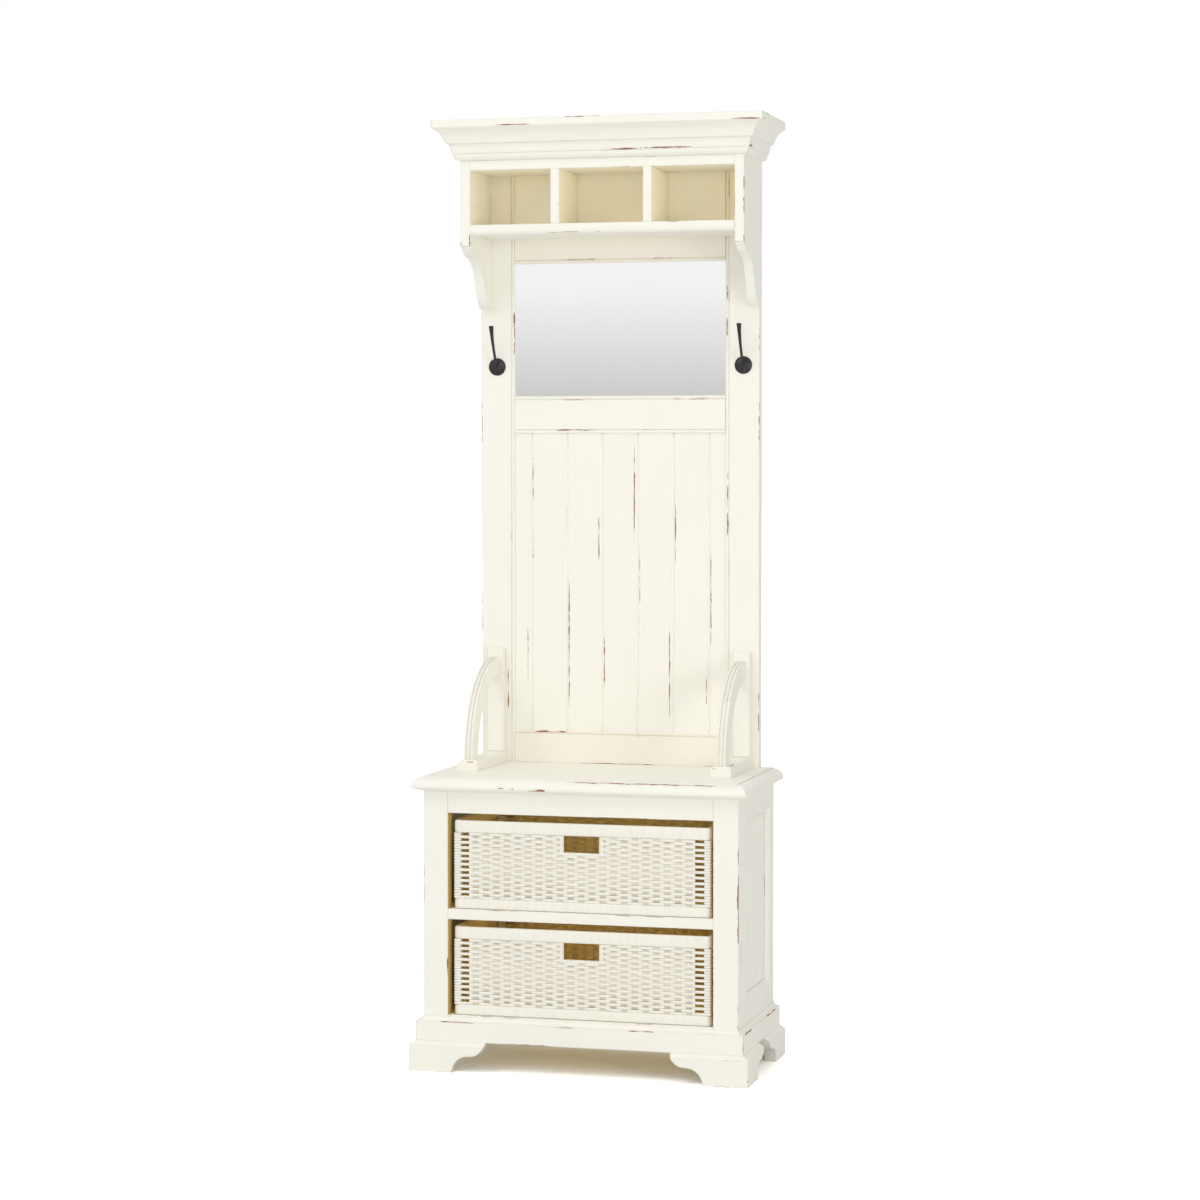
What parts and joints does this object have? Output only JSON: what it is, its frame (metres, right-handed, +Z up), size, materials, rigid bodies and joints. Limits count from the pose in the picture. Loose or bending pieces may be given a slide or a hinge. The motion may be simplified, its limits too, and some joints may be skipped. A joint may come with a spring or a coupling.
{
  "type": "hall tree",
  "caption": "Tall hall tree: bench case with pull-out woven baskets, curved arms, planked back with mirror, coat hooks, cubbies and a moulded crown.",
  "frame": {"origin": "centre of the footprint on the floor, under the middle of the overall box", "axes": "+X to the right seen from the front, +Y to the back, +Z up; the front faces -Y"},
  "size_m": [0.727, 0.382, 2],
  "materials": {
    "painted_wood": "cream paint, eggshell sheen, rubbed through to red-brown wood along edges and grooves",
    "inner_wood": "cream wash, matt, inside the case",
    "painted_wicker": "woven split cane painted cream, matt",
    "mirror": "silvered flat glass",
    "backing_board": "raw fibreboard",
    "dark_iron": "blackened, low sheen",
    "screw_steel": "zinc plated"
  },
  "bodies": {
    "frame": {"foot_front_left": "painted_wood", "foot_front_right": "painted_wood", "foot_rear_left": "painted_wood", "foot_rear_right": "painted_wood", "plinth_front": "painted_wood", "plinth_left": "painted_wood", "plinth_right": "painted_wood", "front_stile_left": "painted_wood", "front_stile_right": "painted_wood", "front_rail_top": "painted_wood", "front_rail_middle": "painted_wood", "front_rail_bottom": "painted_wood", "side_frame_left": "painted_wood", "side_frame_right": "painted_wood", "side_panel_left": "painted_wood", "side_panel_right": "painted_wood", "bench_bottom": "inner_wood", "bench_shelf": "inner_wood", "bench_back": "inner_wood", "seat": "painted_wood", "arm_base_left": "painted_wood", "arm_base_right": "painted_wood", "arm_post_left": "painted_wood", "arm_post_right": "painted_wood", "arm_curve_left": "painted_wood", "arm_curve_right": "painted_wood", "back_stile_left": "painted_wood", "back_stile_right": "painted_wood", "back_rail_top": "painted_wood", "back_rail_middle": "painted_wood", "back_rail_bottom": "painted_wood", "plank_1": "painted_wood", "plank_2": "painted_wood", "plank_3": "painted_wood", "plank_4": "painted_wood", "plank_5": "painted_wood", "plank_6": "painted_wood", "plank_7": "painted_wood", "mirror_glass": "mirror", "mirror_board": "backing_board", "cabinet_side_left": "painted_wood", "cabinet_side_right": "painted_wood", "cubby_shelf": "painted_wood", "cubby_divider_left": "painted_wood", "cubby_divider_right": "painted_wood", "cabinet_top": "painted_wood", "crown_front": "painted_wood", "crown_left": "painted_wood", "crown_right": "painted_wood", "crown_back": "painted_wood", "crown_lid": "painted_wood", "hook_rosette_left": "dark_iron", "hook_rosette_right": "dark_iron", "hook_arm_left": "dark_iron", "hook_arm_right": "dark_iron", "seat_screws": "screw_steel"},
    "basket_upper": {"basket_upper_weave": "painted_wicker", "basket_upper_rim": "painted_wicker"},
    "basket_lower": {"basket_lower_weave": "painted_wicker", "basket_lower_rim": "painted_wicker"}
  },
  "joints": [
    {"name": "basket_upper_slide", "type": "slide", "parent": "frame", "child": "basket_upper", "axis": [0, -1, 0], "range_m": [0, 0.34]},
    {"name": "basket_lower_slide", "type": "slide", "parent": "frame", "child": "basket_lower", "axis": [0, -1, 0], "range_m": [0, 0.34]}
  ]
}
